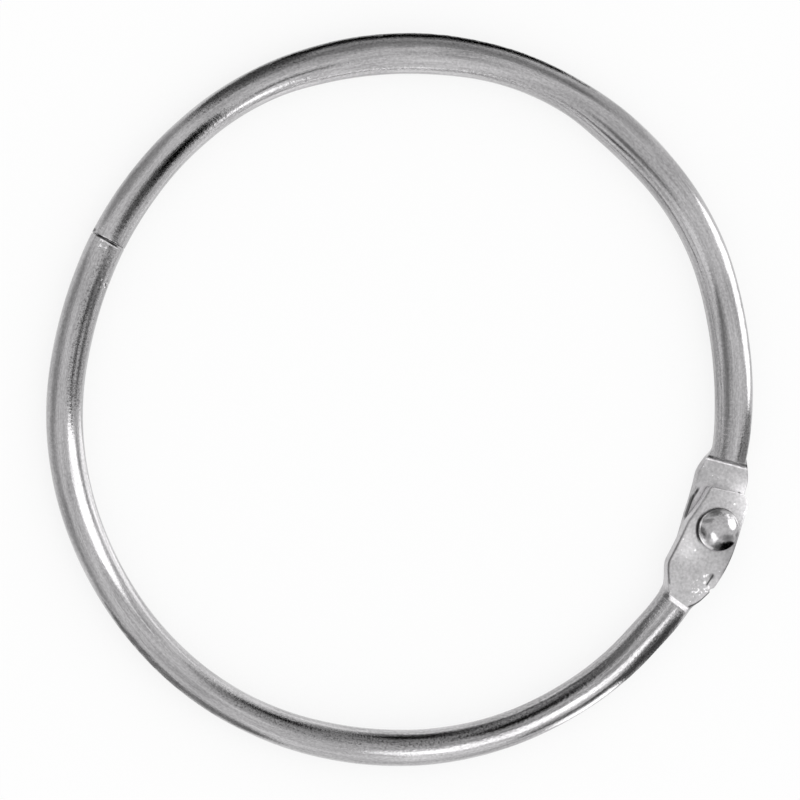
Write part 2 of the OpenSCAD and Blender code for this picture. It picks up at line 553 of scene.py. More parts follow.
    def add_wear(self, bends):
        """Seam along the inside, dimple, waves that rolling leaves, and bends of use."""
        size, column, s, y, z = self.size, self.column, self.s, self.y, self.z
        on_seam = (1 - column.share(0, 1)) + column.share(COLUMNS - 1, COLUMNS)
        seam = size["Seam Depth"] * on_seam * s.share(*SEAM_START) * self.is_outside
        distance = ((s - size["Dimple Place"]).squared() + z.squared()).sqrt()
        ball = size["Dimple Radius"]
        dent = size["Dimple Depth"] - ball + (ball * ball - distance * distance).sqrt()
        on_inside = 1 - y.above(-0.5)
        dent = dent.smooth_max(0, 0.05) * on_inside * (1 - distance.above(1.2)) * self.is_outside
        wave_at = joined_vector(self.tree, s / 5 + size["Seed"] * 10, y * 0.35, z * 0.35)
        wave = noise_field(self.tree, wave_at, 1.0, 2.0)
        waves = (wave - 0.5) * 2 * size["Waviness"] * s.rise(*WAVE_START) * self.is_outside
        swelled = 1 + waves / TUBE_R
        sprung = drawn_curve(self.tree, "Out of true", self.degrees, bends)
        self.y = self.mid + y * swelled * self.cap + seam + dent + sprung
        self.z = self.centre_z + (z * swelled - self.centre_z) * self.cap

    def add_output(self):
        """Moves the grid's points to their places, maps them and closes the shell."""
        tree, size = self.tree, self.size
        place_r = size["Ring Radius"] + self.y
        place_turn = self.s_shown / size["Ring Radius"]
        x = place_r * place_turn.cos() * MM
        y = place_r * place_turn.sin() * MM
        place = joined_vector(tree, x, y, self.z * MM)
        # The map is in millimetres along the ring, and round the tube from the seam.
        mapped = node_of(tree, "GeometryNodeStoreNamedAttribute",
                         Geometry=self.grid.outputs["Mesh"], Name=MAP)
        mapped.data_type = "FLOAT2"
        mapped.domain = "CORNER"
        around = self.column * (2 * math.pi * TUBE_R / COLUMNS)
        feed(tree, mapped.inputs["Value"], joined_vector(tree, self.s, around, 0.0))
        moved = node_of(tree, "GeometryNodeSetPosition", Geometry=mapped.outputs[0], Position=place)
        merged = node_of(tree, "GeometryNodeMergeByDistance", Geometry=moved.outputs[0],
                         Distance=MERGE_DISTANCE * MM)
        smooth = node_of(tree, "GeometryNodeSetShadeSmooth", Geometry=merged.outputs[0])
        real = node_of(tree, "GeometryNodeRealizeInstances", Geometry=smooth.outputs[0])
        finished = node_of(tree, "GeometryNodeSetMaterial", Geometry=real.outputs[0])
        feed(tree, finished.inputs["Material"], self.group_in.outputs["Finish"])
        group_out = tree.nodes.new("NodeGroupOutput")
        tree.links.new(finished.outputs[0], group_out.inputs[0])


def turn_outward(work):
    """Turns every face of an open edit outward."""
    bmesh.ops.recalc_face_normals(work, faces=work.faces)
    if work.calc_volume(signed=True) < 0:
        bmesh.ops.reverse_faces(work, faces=work.faces)


def outward(mesh):
    """Turns every face outward."""
    work = bmesh.new()
    work.from_mesh(mesh)
    turn_outward(work)
    work.to_mesh(mesh)
    work.free()


def plain_mesh_of(tree, name, inputs, finish):
    """Runs the tree on an empty mesh and returns its result as a plain mesh."""
    holder = bpy.data.objects.new(name + "_maker", bpy.data.meshes.new(name + "_maker"))
    bpy.context.scene.collection.objects.link(holder)
    modifier = holder.modifiers.new("Half Ring", "NODES")
    modifier.node_group = tree
    values = {**inputs, "Finish": finish}
    for socket in tree.interface.items_tree:
        if socket.name in values:
            modifier[socket.identifier] = values[socket.name]
    evaluated = holder.evaluated_get(bpy.context.evaluated_depsgraph_get())
    mesh = bpy.data.meshes.new_from_object(evaluated)
    holder.modifiers.remove(modifier)
    bpy.data.objects.remove(holder)
    mesh.name = name
    mesh.materials.clear()
    mesh.materials.append(finish)
    mesh.polygons.foreach_set("material_index", [0] * len(mesh.polygons))
    outward(mesh)
    return mesh


def show(mesh, name):
    piece = bpy.data.objects.new(name, mesh)
    bpy.context.scene.collection.objects.link(piece)
    return piece


def with_cut(mesh, tool, operation):
    """The mesh with a tool cut from it or joined to it, as one closed shell of its own finish."""
    tool.materials.append(mesh.materials[0])
    piece = show(mesh, "work")
    other = show(tool, "tool")
    cut = piece.modifiers.new("Cut", "BOOLEAN")
    cut.operation = operation
    cut.solver = "EXACT"
    cut.object = other
    evaluated = piece.evaluated_get(bpy.context.evaluated_depsgraph_get())
    made = bpy.data.meshes.new_from_object(evaluated)
    made.name = mesh.name
    bpy.data.objects.remove(piece)
    bpy.data.objects.remove(other)
    return made


def bridge(work, rings):
    """Faces from each ring of points to the next. A ring may be a single point."""
    for before, after in zip(rings, rings[1:]):
        count = max(len(before), len(after))
        for i in range(count):
            j = (i + 1) % count
            corners = [before[i % len(before)], before[j % len(before)],
                       after[j % len(after)], after[i % len(after)]]
            work.faces.new(list(dict.fromkeys(corners)))


def closed_mesh(work, name):
    """Ends the making of a closed solid: smooth, with its faces outward."""
    for face in work.faces:
        face.smooth = True
    turn_outward(work)
    mesh = bpy.data.meshes.new(name)
    work.to_mesh(mesh)
    work.free()
    return mesh


def lathe(profile, name, turns=96):
    """Solid turned about Z from (radius, height) points that start and end on the axis."""
    work = bmesh.new()
    rings = []
    for radius, height in profile:
        count = turns if radius > 0 else 1
        ring = []
        for i in range(count):
            a = 2 * math.pi * i / turns
            place = (radius * math.cos(a), radius * math.sin(a), height)
            ring.append(work.verts.new(in_metres(place)))
        rings.append(ring)
    bridge(work, rings)
    return closed_mesh(work, name)


def rivet_hole(radius):
    """Cutter for the hole in a leaf, at the pivot."""
    low, high = LEAF_BOTTOM - 1, LEAF_TOP + 1
    cutter = lathe([(0, low), (radius, low), (radius, high), (0, high)], "hole")
    cutter.transform(Matrix.Translation((PIVOT_R * MM, 0, 0)))
    return cutter


def tongue_section():
    """(y, z) points round the tongue: a circle with a channel open towards the ring's centre."""
    arc_steps = 40
    slot = CHANNEL_W / 2
    opening = math.asin(slot / TONGUE_R)
    section = []
    for i in range(arc_steps + 1):
        a = -math.pi + opening + (2 * math.pi - 2 * opening) * i / arc_steps
        section.append((TONGUE_R * math.cos(a), TONGUE_R * math.sin(a)))
    bevel = CHANNEL_BEVEL
    return section + [(bevel, slot), (0, slot - bevel), (0, bevel - slot), (bevel, -slot)]


def tongue(start_s):
    """The channel that plugs into the socket, tapered and rounded at its end."""
    steps = 36
    root = WALL / 2
    end_s = start_s + TONGUE_L
    stations = []
    for i in range(steps + 1):
        s = start_s - root + (TONGUE_L + root) * i / steps
        tapered = max(0, min(1, (s - end_s + NOSE_L) / NOSE_L))
        stations.append((s, 1 - NOSE_DROP / TONGUE_R * tapered))
    for past_end, drop in NOSE_ROUND:
        stations.append((end_s + past_end, 1 - (NOSE_DROP + drop) / TONGUE_R))
    work = bmesh.new()
    rings = []
    mapped = {}
    for s, scale in stations:
        a = s / RING_R
        ring = []
        for i, (y, z) in enumerate(tongue_section()):
            r = RING_R + y * scale
            place = (r * math.cos(a), r * math.sin(a), z * scale)
            ring.append(work.verts.new(in_metres(place)))
            mapped[ring[-1]] = (s, 0.1 * i)
        rings.append(ring)
    bridge(work, rings)
    work.faces.new(rings[0])
    work.faces.new(list(reversed(rings[-1])))
    rolled = work.loops.layers.uv.new(MAP)
    for face in work.faces:
        for loop in face.loops:
            loop[rolled].uv = mapped[loop.vert]
    return closed_mesh(work, "tongue")


# --- Finishes ---

TUBE_BRIGHTNESS = 0.41
LEAF_BRIGHTNESS = 0.48
# The place of a mark across a tube is measured square to this direction. It is the camera's,
# TO_CAMERA, written out in numbers, so these marks are laid out for that one view.
MARKED_SIDE = Vector((-0.29, -0.04, 0.956))
# Directions from the rivet's axis, in the ring's plane. Each is only roughly towards what it is
# named for: TO_CENTRE is 17 degrees off.
TO_CENTRE = (-0.956, -0.292)
TO_UPPER_HALF = (-0.26, 0.965)
TO_LOWER_HALF = (-0.1, -0.99)

# Worn places, where fine dark flecks also paint dark reflection: (from, to, softness) along the
# tube, the same across it as seen, from -1 to 1 in tube radii, and a strength.
UPPER_WORN_AND_DARK_REFLECTION = [
    ((8.4, 14, 0.6), (0.5, 1, 0.1), 1),
    ((58, 106, 4), (0.42, 1, 0.12), 0.6),
    ((91, 106, 2), (0.4, 0.9, 0.1), 1),
    ((101, 121.6, 1.5), (-0.62, -0.05, 0.12), 1),
]
LOWER_WORN_AND_DARK_REFLECTION = [
    ((LOWER_LENGTH - 20, LOWER_LENGTH - 0.4, 0.6), (-0.78, -0.02, 0.1), 1),
    ((24, 73, 5), (-0.68, -0.08, 0.1), 1),
    ((10.2, 24, 2), (-0.7, -0.25, 0.1), 0.6),
    ((10.2, 20.5, 2), (0.42, 1, 0.12), 1),
    ((65, 86, 4), (0.6, 1, 0.1), 0.5),
]
# The lower leaf's corners, along which painted shade lines run: (from, to, softness) in columns
# round its section.
INNER_CORNER_COLUMNS = (97.8, 101.3, 0.7)
OUTER_CORNER_COLUMNS = (70.6, 73.0, 0.5)
# Places on a leaf: ((along, outward), radius).
UPPER_PIT = ((4.63, 2.1), 0.24)
CREASE_END = ((5.02, 2.24), 0.42)
BY_CREASE = ((6.2, 1.9), 1.8)
BY_OUTER_EDGE = ((8.1, 1.7), 1.3)
BY_RIVET = ((3.0, -2.3), 1.5)
LOWER_FLECKS = [
    ((3.3, -1.08), 0.2),
    ((6.02, 1.79), 0.24),
    ((6.3, 2.55), 0.26),
    ((5.45, 1.4), 0.2),
    ((6.62, 2.2), 0.18),
    # A painted highlight on a worn corner of the leaf's outer edge:
    ((-2.75, 2.95), 0.22),
    ((-3.3, 1.37), 0.15),
]
# Places by the closure: ((from the end, across as seen), radius).
UPPER_NICK = ((0.3, 1.85), 0.28)
BY_END = ((0.75, 0.1), 0.9)
BY_DIMPLE = ((4.8, -1.6), 1.0)


def band(value, low, high, soft=0.05):
    """1 between low and high, 0 outside."""
    return value.share(low - soft, low + soft) * (1 - value.share(high - soft, high + soft))


def spot(x, y, centre, radius):
    """1 at a centre, fading to 0 at a radius."""
    distance = ((x - centre[0]).squared() + (y - centre[1]).squared()).sqrt()
    return 1 - distance.share(radius * 0.5, radius)


def worn_and_dark_reflection_flecks(skin, places):
    """Fine dark flecks at worn places, which also paint the dark reflection there."""
    worn = sum(
        strength * band(skin.along, *lengthwise) * band(skin.seen, *across)
        for lengthwise, across, strength in places
    ).unit()
    return ((0.42 + 0.06 * worn - skin.noise(5200.0, 2.0)) * 9).unit() * worn


def speckle(noise, near):
    """Small bright flecks, closer together where near is 1."""
    return ((noise(3300.0) - 0.73 + 0.19 * near) * 25).unit()


def toward(x, y, direction):
    """1 in a direction from the axis, 0 across it."""
    return (x * direction[0] + y * direction[1]) / (x * x + y * y).sqrt()


def upper_marks(skin):
    """Dark and white marks of the upper half. Painted shade: where its step bends up, a streak
    beside the other leaf, and the wall of its leaf's edge towards the ring's centre. Painted light:
    a highlight on the foot of its step, a pale band on its leaf, and a highlight on the lip at the
    closure. Besides these: a pit, a nick, bright flecks, and worn dark flecks that also paint dark
    reflection."""
    along, out, up, seen, noise = skin.along, skin.out, skin.up, skin.seen, skin.noise
    on_face = up.share(-0.4, -0.2)
    past_step = along - INNER_STEP_S + out * STEP_SLANT
    # Painted shade where the step bends up from the leaf, and a painted highlight on the step's
    # foot.
    fold_shade = band(past_step, 0.28, 0.56) * mix(0.35, 1, noise(900.0).share(0.4, 0.6))
    foot = band(past_step, -0.02, 0.15) * mix(0.4, 1, noise(1300.0).share(0.4, 0.55))
    # Painted shade: a dark streak on this leaf beside the other leaf's wall, where shade falls
    # between the two.
    past_leaf = out + 2.88 + 0.25 * (3.75 - along)
    streak = band(past_leaf, -0.16, 0.14, 0.06) * band(along, 2.2, 3.9, 0.4)
    streak = streak * (0.8 + 0.5 * noise(1500.0).share(0.45, 0.6))
    # Painted shade on the wall of the leaf's edge towards the ring's centre.
    edge = (1 - out.share(-3.14, -3.04)) * up.share(-1.0, -0.7) * band(along, -0.3, 2.7, 0.4)
    pit = spot(along, out, *UPPER_PIT)
    # Painted light: a pale band on the leaf towards the ring's centre, beside the other leaf.
    glow = 0.42 * band(out, -2.95, -1.9, 0.15) * band(along, 0, 4.5, 0.6)
    from_end = UPPER_LENGTH - along
    nick = spot(from_end, seen * TUBE_R, *UPPER_NICK)
    # Painted highlight on the rolled lip at the closure.
    lip = band(from_end, -0.1, 0.1, 0.03) * band(seen, -0.25, 0.35, 0.1)
    lip = lip * noise(1800.0).share(0.42, 0.5)
    flecks = speckle(noise, 0.25) * (1 - along.share(7, 8))
    dark = (fold_shade + streak + pit) * on_face + edge + nick + 0.6 * worn_and_dark_reflection_flecks(skin, UPPER_WORN_AND_DARK_REFLECTION)
    white = (foot + flecks + glow) * on_face + lip
    return dark.unit(), white.unit()


def lower_leaf_marks(skin):
    """Dark and white marks of the lower leaf. Painted shade: lines along its corners, a creased
    line, and the shadow beside the rivet's head. Painted light: highlights on the ramp of its step,
    its inner wall and its tip's end, and a paler outer side. Besides these: bright flecks, one of
    them a painted highlight."""
    along, out, up, noise = skin.along, skin.out, skin.up, skin.noise
    on_top = up.share(1.46, 1.54)
    on_leaf = on_top * (1 - along.share(9.2, 9.3))
    # Painted shade: dark lines along the leaf's inner and outer corners.
    inner_corner_shade = band(skin.column, *INNER_CORNER_COLUMNS) * band(along, -4.5, 8.4)
    inner_corner_shade = inner_corner_shade * mix(0.35, 0.68, along.share(-2, 3))
    outer_corner_shade = 0.9 * band(skin.column, *OUTER_CORNER_COLUMNS) * band(along, 6.6, 9.3)
    # Painted shade of a creased line in the leaf, which the mesh doesn't have, with a dark spot at
    # its end.
    crease_shade = band(along, 4.85, 6.2, 0.12) * band(out + 0.08 * along, 2.58, 2.76, 0.05)
    crease_shade = (0.5 * spot(along, out, *CREASE_END) + crease_shade).unit() * on_top
    # Painted shadow of the rivet's head on the leaf, on the side towards TO_CENTRE.
    x, y = out - PIVOT_R + RING_R, -along
    from_axis = (x * x + y * y).sqrt()
    shade = band(from_axis, HEAD_D / 2 - 0.15, HEAD_D / 2 + 0.2, 0.07) * on_top
    shade = shade * toward(x, y, TO_CENTRE).share(0.66, 0.92)
    # Painted highlight on the ramp of the outer step.
    ramp = band(along, OUTER_STEP_S, 9.98) * on_top * out.share(-1.0, -0.7)
    # Painted light on the leaf's inner wall, paler towards the tip.
    inner_wall_light = band(up, 0.1, 1.33, 0.06) * band(along, -6, 9, 0.5) * (1 - out.share(-1, 1))
    inner_wall_light = inner_wall_light * mix(0.6, 0.22, along.share(-3, 1))
    # Painted light on the rounded end of the leaf's tip, against the shade that falls there.
    tip = 0.2 * (1 - (along + FRONT_TIP_S).share(0.05, 0.16)) * up.share(1.2, 1.4)
    near = 0.2 + 0.75 * spot(along, out, *BY_CREASE) + 0.5 * spot(along, out, *BY_OUTER_EDGE)
    near = (near + 0.3 * spot(along, out, *BY_RIVET)).unit() * noise(700.0, 1.0).share(0.32, 0.48)
    flecks = sum(spot(along, out, *place) for place in LOWER_FLECKS)
    flecks = flecks * noise(2100.0).share(0.4, 0.5) * on_top + speckle(noise, near) * on_leaf
    # Painted light: the leaf made paler towards its outer side.
    lit_side = 0.16 * out.share(0.8, 2.8) * along.share(0, 3) * on_leaf
    dark = inner_corner_shade + outer_corner_shade + crease_shade + shade
    return dark, ramp + inner_wall_light + tip + flecks + lit_side


def lower_marks(skin):
    """Dark and white marks of the lower half: those of its leaf, the line at the closure with a
    painted highlight just past it, the scratches and dull specks there and round the dimple, and
    worn dark flecks that also paint dark reflection."""
    seen, noise = skin.seen, skin.noise
    leaf_dark, leaf_white = lower_leaf_marks(skin)
    from_end = LOWER_LENGTH - skin.along
    past_split = from_end + 0.05 * (seen * 3).sin()
    split = band(past_split, 0.05, 0.25, 0.03) * band(seen, -0.68, 0.6, 0.06)
    # Painted highlight: a thin bright line just past the split.
    highlight_beyond_split = band(past_split, 0.3, 0.41, 0.03) * band(seen, -0.72, 0.42, 0.08)
    highlight_beyond_split = highlight_beyond_split * noise(1500.0).share(0.45, 0.53)
    by_end = spot(from_end, seen * TUBE_R, *BY_END)
    by_dimple = spot(from_end, seen * TUBE_R, *BY_DIMPLE)
    bright = ((noise(3000.0) - 0.62 + 0.06 * (by_end + by_dimple)) * 14).unit()
    bright = bright * (by_end + by_dimple).unit()
    dull = ((0.4 - noise(2000.0, 2.0)) * 20).unit() * (by_dimple + 0.6 * by_end).unit()
    dark = leaf_dark + split + 0.7 * dull + 0.6 * worn_and_dark_reflection_flecks(skin, LOWER_WORN_AND_DARK_REFLECTION)
    return dark.unit(), (leaf_white + highlight_beyond_split + bright).unit()


def metal(name):
    """An all-metal material, its node tree and its shader."""
    material = bpy.data.materials.new(name)
    material.use_nodes = True
    shader = material.node_tree.nodes["Principled BSDF"]
    shader.inputs["Metallic"].default_value = 1.0
    return material, material.node_tree, shader


def set_surface(tree, shader, shade, rough, bump_height, height):
    """Gives a metal its shade with nickel's faint cast, its roughness and its relief."""
    colour = node_of(tree, "ShaderNodeCombineColor", Red=shade, Green=shade * 0.985, Blue=shade)
    feed(tree, shader.inputs["Base Color"], colour.outputs[0])
    feed(tree, shader.inputs["Roughness"], rough)
    bump = node_of(tree, "ShaderNodeBump", Strength=1.0, Distance=bump_height, Height=height)
    tree.links.new(bump.outputs[0], shader.inputs["Normal"])


def nickel(name, leaf_end, smooth_part, marks):
    """Bright nickel: fine lines along the tube, faint waves, and a duller, grained leaf."""
    material, tree, shader = metal(name)
    rolled = reading(tree, "ShaderNodeUVMap", "UV", uv_map=MAP)
    along, around, _ = parts_of(tree, rolled)
    place = reading(tree, "ShaderNodeTexCoord", "Object")
    x, y, z = (part / MM for part in parts_of(tree, place))
    out = (x * x + y * y).sqrt() - RING_R
    up = z - LIFT
    lean = toward(x, y, MARKED_SIDE)
    across = (out * MARKED_SIDE.z - up * lean) / (lean * lean + MARKED_SIDE.z ** 2).sqrt()
    is_leaf = 1 - ((along - leaf_end) / 0.4).ease()

    def noise(scale, detail=4.0):
        return noise_field(tree, place, scale, detail)

    def swing(lengthwise, crosswise, offset, detail, rough):
        """Noise about zero, mostly within 1, drawn out along the tube."""
        vector = joined_vector(tree, along * lengthwise, around * crosswise, offset)
        return (noise_field(tree, vector, 1.0, detail, rough) - 0.5) * 4

    lines = swing(0.15, 7, 0.0, 5.0, 0.7)
    streaks = swing(0.1, 1.3, 3.0, 4.0, 0.6)
    pits = swing(2.5, 5, 7.0, 4.0, 0.7)
    ripples = swing(2.8, 1.6, 11.0, 4.0, 0.6) * (1 - 0.7 * band(along, *smooth_part))
    clouds = noise(220.0, 3.0)
    grain = noise(3200.0, 3.0)
    specks = noise(1500.0, 2.0)
    tube_shade = 1 + 0.3 * streaks + 0.16 * lines + 0.3 * pits
    leaf_shade = 0.98 + 0.9 * (grain - 0.5) + 0.5 * (clouds - 0.5)
    brightness = mix(TUBE_BRIGHTNESS, LEAF_BRIGHTNESS, is_leaf)
    shade = mix(tube_shade, leaf_shade, is_leaf) * brightness
    column = around * (COLUMNS / (2 * math.pi * TUBE_R))
    dark, white = marks(SimpleNamespace(
        along=along, column=column, out=out, up=up, seen=across / TUBE_R, noise=noise))
    # The marks' dark and white go into the base colour; many of them are painted shade and painted
    # light.
    shade = mix(shade, 1.0, white) * (1 - 0.85 * dark)
    tube_rough = 0.1 + 0.03 * streaks + 0.02 * lines
    leaf_rough = 0.36 + 0.16 * grain
    rough = mix(mix(tube_rough, leaf_rough, is_leaf), 0.6, white)
    tube_height = lines * 0.5 + streaks * 0.5 + pits * 0.3 + ripples * 1.7
    height = mix(tube_height, 4 * grain + 2 * specks, is_leaf)
    set_surface(tree, shader, shade, rough, 0.0045 * MM, height)
    return material


def rivet_nickel():
    """Smooth pressed dome, with painted shade under its rim and a painted highlight inside the rim
    on the side towards the ring's centre, painted dark reflection near its edge towards the upper
    half, and a painted highlight near its edge towards the lower half.
    """
    material, tree, shader = metal("rivet nickel")
    place = reading(tree, "ShaderNodeTexCoord", "Object")
    x, y, _ = (part / MM for part in parts_of(tree, place))
    x = x - PIVOT_R
    from_axis = (x * x + y * y).sqrt()
    by_centre = toward(x, y, TO_CENTRE).share(0.55, 0.9).ease()
    by_upper = toward(x, y, TO_UPPER_HALF).share(0.6, 0.92).ease()
    by_lower = toward(x, y, TO_LOWER_HALF).share(0.3, 0.8).ease()
    clouds = noise_field(tree, place, 900.0, 4.0)
    fine = noise_field(tree, place, 3000.0, 3.0)
    rim_r = HEAD_D / 2
    # Painted highlight: a bright ring just inside the rim, towards TO_CENTRE.
    rim_highlight = band(from_axis, rim_r - 0.22, rim_r - 0.12, 0.02) * by_centre
    # Painted shade under the rim, towards TO_CENTRE.
    rim = from_axis.share(rim_r - 0.1, rim_r - 0.04) * by_centre
    # Painted shade inside the rim, towards TO_CENTRE.
    inner_shade = band(from_axis, rim_r - 0.6, rim_r - 0.26, 0.1) * by_centre * (1 - by_upper)
    # Painted dark reflection near the dome's edge towards the upper half.
    top = (from_axis + 1.6 * (fine - 0.5)).share(1.65, 2.0) * by_upper
    # Painted highlight near the dome's edge towards the lower half.
    foot = from_axis.share(2.1, 2.3) * by_lower
    shade = 0.42 + 0.3 * (clouds - 0.5) + 0.3 * (fine - 0.5)
    shade = mix(shade, 0.8, rim_highlight + 0.8 * foot)
    shade = shade * (1 - 0.8 * rim - 0.12 * inner_shade - 0.7 * top)
    set_surface(tree, shader, shade, 0.12 + 0.12 * fine, 0.02 * MM, clouds + 0.4 * fine)
    return material


# --- The object ---

# How a hand-used ring is out of true, and how its tube widens: (angle round the ring from the
# rivet, millimetres).
UPPER_BENDS = [
    (0, 0), (5, -0.05), (10, -0.14), (15, -0.14), (22, -0.2), (30, -0.24), (53, 0.2), (70, 0.02),
    (86, 0.16), (113, -0.1), (125, -0.02), (140, 0.22), (152, 0.1), (174, -0.15),
]
UPPER_SWELLS = [
    (12, 0), (24, 0.16), (45, 0.15), (60, 0.2), (70, 0.28), (85, 0.02), (97, 0.08), (112, 0.25),
    (145, -0.09), (174, 0),
]
LOWER_BENDS = [
    (0, 0), (5, 0), (10, -0.02), (15, 0.05), (20, 0.12), (28, 0.27), (40, 0.18), (50, 0.12),
    (62, -0.02), (77, -0.17), (90, -0.08), (104, 0.05), (126, 0.11), (150, 0.24), (178, -0.2),
    (186, -0.15),
]
LOWER_SWELLS = [(12, 0), (45, -0.08), (75, 0), (100, -0.1), (150, 0), (186, 0)]

upper_finish = nickel("upper half nickel", 7.9, (14, 58, 3), upper_marks)
lower_finish = nickel("lower half nickel", 9.3, (76, 108, 3), lower_marks)
rivet_finish = rivet_nickel()


def make_upper_half():
    """Leaf, tube and closed end, with the tongue on it."""
    run = half_ring_rows(UPPER_LENGTH, BACK_TIP_S, [(END_ROWS, 0, LIP_R - TUBE_R)])
    ring = HalfRing("upper half ring", run, UPPER_BENDS, UPPER_SWELLS)
    mesh = plain_mesh_of(ring.tree, "upper_half", {
        "Tip Length": BACK_TIP_S,
        "Tip Slope": 0.09,
        "Edge Bulge": -0.28,
        "Inner Bulge": 0.12,
        "Seed": 1.0,
    }, upper_finish)
    mesh = with_cut(mesh, tongue(UPPER_LENGTH), "UNION")
    mesh = with_cut(mesh, rivet_hole(SHANK_D / 2), "DIFFERENCE")
    outward(mesh)
    mesh.transform(Matrix.Translation((0, 0, LIFT * MM)))
    piece = show(mesh, "upper_half_rolled")
    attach(piece, "upper")
    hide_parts("upper_half")


def make_lower_half():
    """Leaf, tube, and a socket whose wall turns in over a lip and runs back as the bore."""
    bore = [(1, 0, 2 * LIP_R - WALL)]
    bore += [(rows, -travel, change) for rows, travel, change in reversed(LIP)]
    bore += [(BORE_ROWS, BORE_END_S - LOWER_LENGTH, 0), (1, 0, WALL - TUBE_R)]
    run = half_ring_rows(LOWER_LENGTH, FRONT_TIP_S, bore)
    ring = HalfRing("lower half ring", run, LOWER_BENDS, LOWER_SWELLS)
    mesh = plain_mesh_of(ring.tree, "lower_half", {
        "Tip Length": FRONT_TIP_S,
        "Tip Slant": -0.04,
        "Nick Depth": 0.2,
        "Inner Bulge": 0.25,
        "Dimple Place": LOWER_LENGTH - DIMPLE_S,
        "Dimple Depth": DIMPLE_DEPTH,
        "Face Shift": 0.35,
        "Edge Bulge": 0.3,
        "Seed": 2.0,
    }, lower_finish)
    mesh = with_cut(mesh, rivet_hole(SHANK_D / 2 + SHANK_CLEAR), "DIFFERENCE")
    outward(mesh)
    mesh.transform(Matrix.Rotation(math.pi, 4, "X"))
    mesh.transform(Matrix.Translation((0, 0, LIFT * MM)))
    piece = show(mesh, "lower_half_rolled")
    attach(piece, "lower")
    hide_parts("lower_half")


def make_rivet():
    """Domed head on a steep rim, straight shank, and a tail spread under the lower leaf."""
    low = rivet_lo[2] - LIFT
    tail_r, shank_r, rim_r = TAIL_D / 2, SHANK_D / 2, HEAD_D / 2
    tail = [(0, low), (tail_r - 0.45, low), (tail_r - 0.12, low + 0.12), (tail_r, low + 0.3),
            (tail_r, LEAF_BOTTOM)]
    shank = [(shank_r, LEAF_BOTTOM), (shank_r, SEAT_Z)]
    rim = [(rim_r - 0.06, SEAT_Z), (rim_r, SEAT_Z + 0.05), (rim_r - 0.02, SEAT_Z + 0.16),
           (rim_r - 0.1, SEAT_Z + 0.32), (rim_r - 0.17, SEAT_Z + 0.4), (DOME_EDGE_R, DOME_EDGE_Z)]
    dome = []
    edge_turn = math.asin(DOME_EDGE_R / DOME_R)
    steps = 30
    for i in range(1, steps):
        a = edge_turn * (1 - i / steps)
        dome.append((DOME_R * math.sin(a), HEAD_TOP_Z - DOME_R + DOME_R * math.cos(a)))
    mesh = lathe(tail + shank + rim + dome + [(0, HEAD_TOP_Z)], "rivet", 128)
    mesh.transform(Matrix.Translation((PIVOT_R * MM, 0, LIFT * MM)))
    mesh.materials.append(rivet_finish)
    piece = show(mesh, "rivet_domed")
    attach(piece, "upper")
    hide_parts("rivet")


make_upper_half()
make_lower_half()
make_rivet()


# --- Studio ---


def make_camera():
    camera = bpy.data.objects.new("camera", bpy.data.cameras.new("camera"))
    bpy.context.scene.collection.objects.link(camera)
    camera.data.lens = LENS
    camera.data.sensor_width = 36
    camera.data.clip_start = 0.01
    camera.data.clip_end = 20
    camera.rotation_mode = "QUATERNION"
    camera.rotation_quaternion = CAMERA_TURN
    camera.location = Vector(VIEW_AIM) * MM + TO_CAMERA * VIEW_DISTANCE
    bpy.context.scene.camera = camera


def make_world():
    world = bpy.data.worlds.new("white room")
    world.use_nodes = True
    background = world.node_tree.nodes["Background"]
    background.inputs["Color"].default_value = (1, 1, 1, 1)
    background.inputs["Strength"].default_value = 1.0
    bpy.context.scene.world = world


def blended_material(name):
    """An empty material, its node tree, and a function that blends two surfaces in it."""
    material = bpy.data.materials.new(name)
    material.use_nodes = True
    tree = material.node_tree
    tree.nodes.clear()

    def blend(first, second, share):
        blended = node_of(tree, "ShaderNodeMixShader", Fac=share)
        tree.links.new(first.outputs[0], blended.inputs[1])
        tree.links.new(second.outputs[0], blended.inputs[2])
        out = tree.nodes.new("ShaderNodeOutputMaterial")
        tree.links.new(blended.outputs[0], out.inputs["Surface"])

    return material, tree, blend


def make_floor():
    """Pale table that shows white and keeps a faint shadow."""
    half = 6
    corners = [(-half, -half, 0), (half, -half, 0), (half, half, 0), (-half, half, 0)]
    mesh = bpy.data.meshes.new("table")
    mesh.from_pydata(corners, [], [(0, 1, 2, 3)])
    material, tree, blend = blended_material("pale table")
    lit = tree.nodes.new("ShaderNodeBsdfDiffuse")
    lit.inputs["Color"].default_value = (0.95, 0.95, 0.95, 1)
    blend(node_of(tree, "ShaderNodeEmission", Strength=1.0), lit, 0.2)
    mesh.materials.append(material)
    floor = show(mesh, "table")
    floor.visible_glossy = False


def card_material(level, ragged, soft, clearance):
    """Glows on its front, fades out at a ragged border, and is clear from behind and to what comes
    close."""
    name = "card %.2f %.2f %.2f %.3f" % (level, ragged, soft, clearance)
    found = bpy.data.materials.get(name)
    if found:
        return found
    material, tree, blend = blended_material(name)
    mapped = reading(tree, "ShaderNodeUVMap", "UV", uv_map=CARD_MAP)
    lengthwise, crosswise, _ = parts_of(tree, mapped)
    grain_at = joined_vector(tree, lengthwise * 3, crosswise * 2, level)
    grain = noise_field(tree, grain_at, 1.0, 6.0, 0.75)
    border = reading(tree, "ShaderNodeAttribute", "Fac", attribute_name="Border")
    solid = border * (1 + 0.6 * ragged) + (grain - 0.52) * 7 * ragged
    facing = 1 - reading(tree, "ShaderNodeNewGeometry", "Backfacing")
    ray_length = reading(tree, "ShaderNodeLightPath", "Ray Length")
    shown = (solid / soft).ease() * facing * ray_length.share(clearance / 2, clearance)
    glow = node_of(tree, "ShaderNodeEmission", Strength=level)
    blend(tree.nodes.new("ShaderNodeBsdfTransparent"), glow, shown)
    return material


